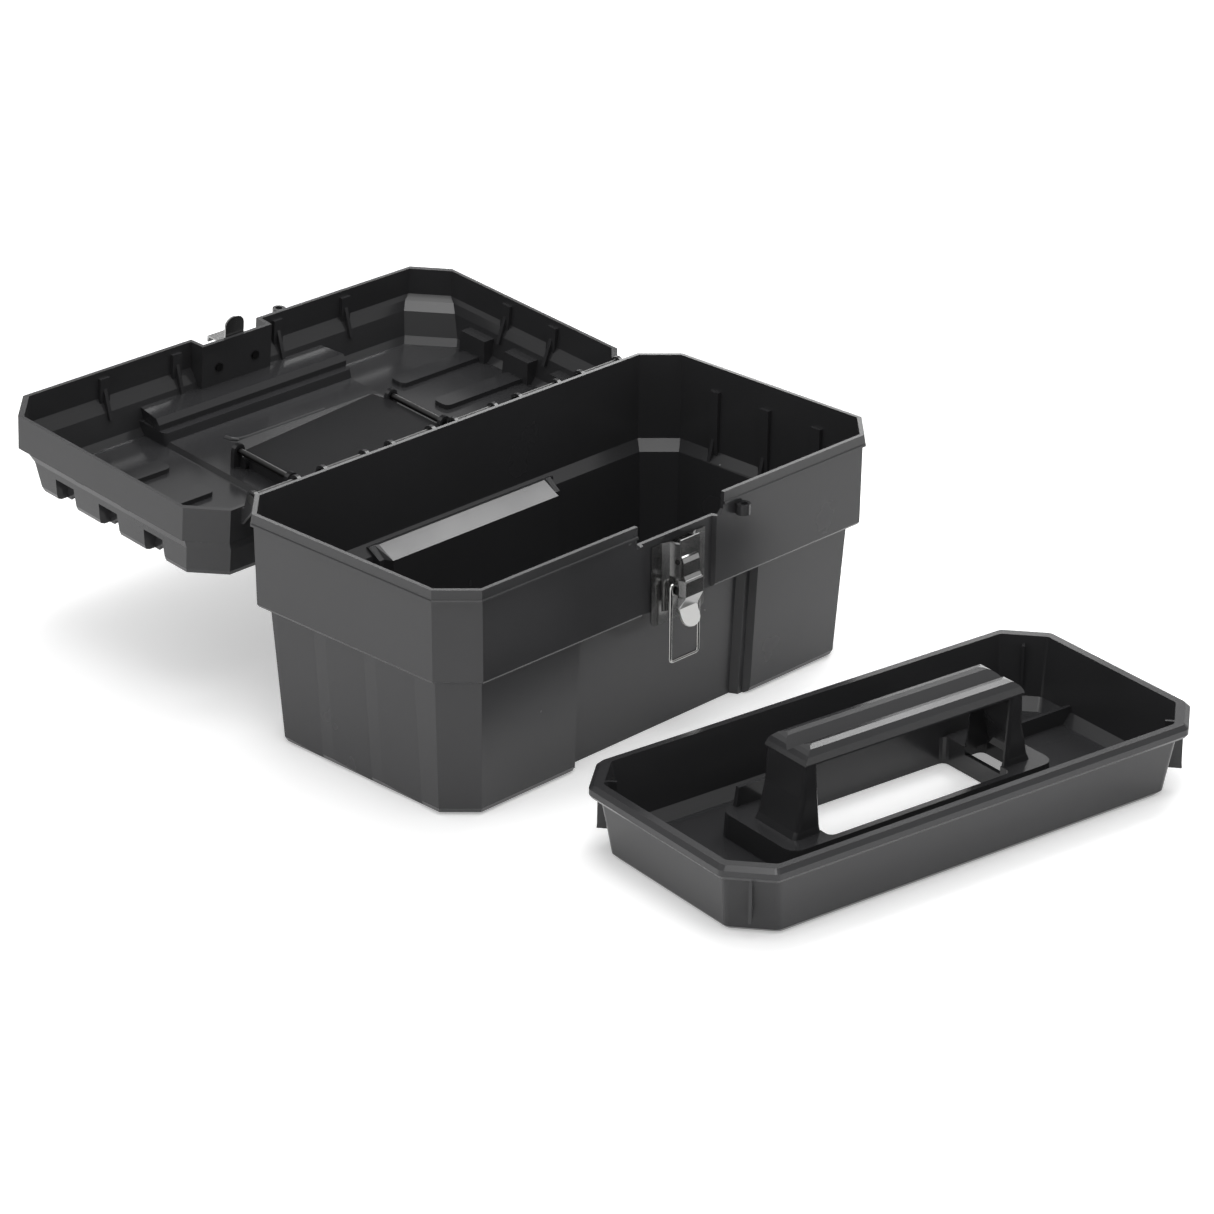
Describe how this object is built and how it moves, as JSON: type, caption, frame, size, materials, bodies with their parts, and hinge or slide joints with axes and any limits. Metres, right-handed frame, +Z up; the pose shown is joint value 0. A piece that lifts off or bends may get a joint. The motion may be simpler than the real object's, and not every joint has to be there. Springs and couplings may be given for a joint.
{
  "type": "toolbox with lift-out tray",
  "caption": "Black plastic hand toolbox with a hinged lid, steel draw latch, folding top handle and lift-out tray with a centre grip.",
  "frame": {"origin": "centre of the body's underside, on the floor", "axes": "+X along the box to the right seen from the latch side, -Y towards the latch, +Z up"},
  "size_m": [0.3737, 0.6585, 0.1601],
  "materials": {
    "black_box_plastic": "glossy moulded",
    "black_lid_plastic": "glossy moulded",
    "black_tray_plastic": "glossy moulded",
    "black_handle_plastic": "satin moulded",
    "bright_nickel_plate": "bright nickel plate",
    "bright_nickel_lever": "bright nickel plate",
    "plain_steel_rod": "drawn steel"
  },
  "bodies": {
    "box": {"body_tub": "black_box_plastic", "latch_base": "bright_nickel_plate", "latch_lever_pin": "plain_steel_rod", "latch_rivet_lower": "plain_steel_rod", "latch_rivet_upper": "plain_steel_rod"},
    "lid": {"lid_shell": "black_lid_plastic", "hinge_pin_1": "plain_steel_rod", "hinge_pin_2": "plain_steel_rod", "hinge_pin_3": "plain_steel_rod", "hinge_pin_4": "plain_steel_rod", "hinge_pin_5": "plain_steel_rod", "hinge_pin_6": "plain_steel_rod", "handle_rod_left": "plain_steel_rod", "handle_rod_right": "plain_steel_rod", "handle_pin_left": "plain_steel_rod", "handle_pin_right": "plain_steel_rod", "lid_catch": "bright_nickel_plate", "catch_rivet_left": "plain_steel_rod", "catch_rivet_right": "plain_steel_rod"},
    "handle": {"carry_handle": "black_handle_plastic"},
    "lever": {"latch_lever": "bright_nickel_lever"},
    "bail": {"latch_bail": "bright_nickel_plate"},
    "tray": {"tray_shell": "black_tray_plastic"}
  },
  "joints": [
    {"name": "lid_hinge", "type": "hinge", "parent": "box", "child": "lid", "pos_m": [0, 0.10354, 0.13847], "axis": [1, 0, 0], "range_deg": [0, 174.68]},
    {"name": "handle_pivot", "type": "hinge", "parent": "lid", "child": "handle", "pos_m": [0, 0.21859, 0.10054], "axis": [1, 0, 0], "range_deg": [-84.68, 5.3]},
    {"name": "lever_pivot", "type": "hinge", "parent": "box", "child": "lever", "pos_m": [0, -0.0992, 0.1176], "axis": [1, 0, 0], "range_deg": [-75, 0]},
    {"name": "bail_pivot", "type": "hinge", "parent": "lever", "child": "bail", "pos_m": [0, -0.0972, 0.1034], "axis": [1, 0, 0], "range_deg": [-85, 0]},
    {"name": "tray_lift", "type": "slide", "parent": "box", "child": "tray", "axis": [0, 0, 1], "range_m": [0, 0.2]}
  ]
}
